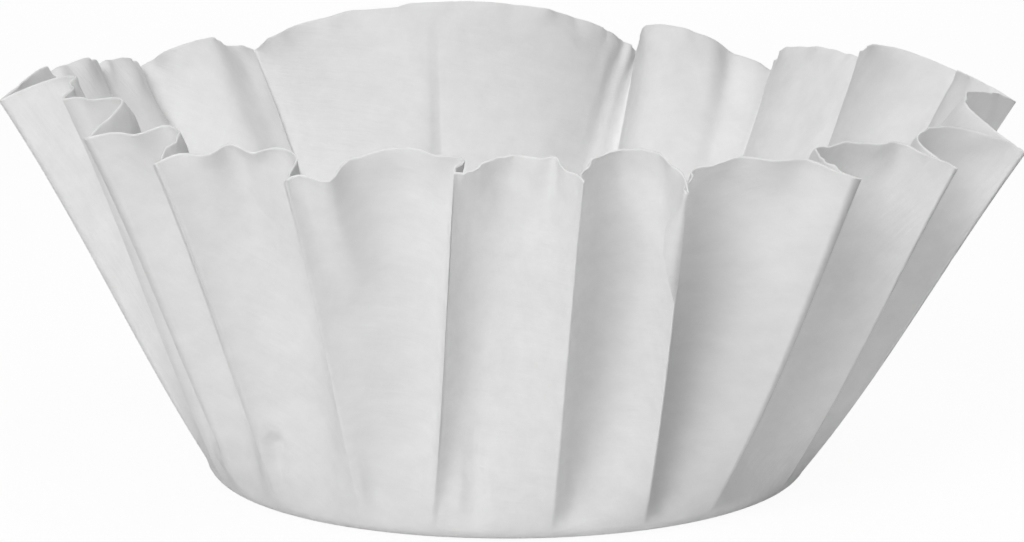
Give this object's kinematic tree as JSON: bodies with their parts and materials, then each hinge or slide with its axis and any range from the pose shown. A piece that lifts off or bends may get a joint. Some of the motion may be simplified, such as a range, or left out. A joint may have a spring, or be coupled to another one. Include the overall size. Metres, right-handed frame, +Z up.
{
  "type": "paper coffee filter",
  "caption": "White basket-type paper coffee filter: one round sheet pressed into a flat-bottomed cup with a flaring, irregularly pleated wall.",
  "frame": {"origin": "middle of the round bottom, on its underside", "axes": "+Z up through the open top; the side seen in front faces -Y; +X to the right"},
  "size_m": [0.1395, 0.1422, 0.0604],
  "materials": {
    "filter_paper": "matt, finely creped, slightly translucent"
  },
  "bodies": {
    "root": {"filter_paper": "filter_paper"}
  },
  "joints": []
}
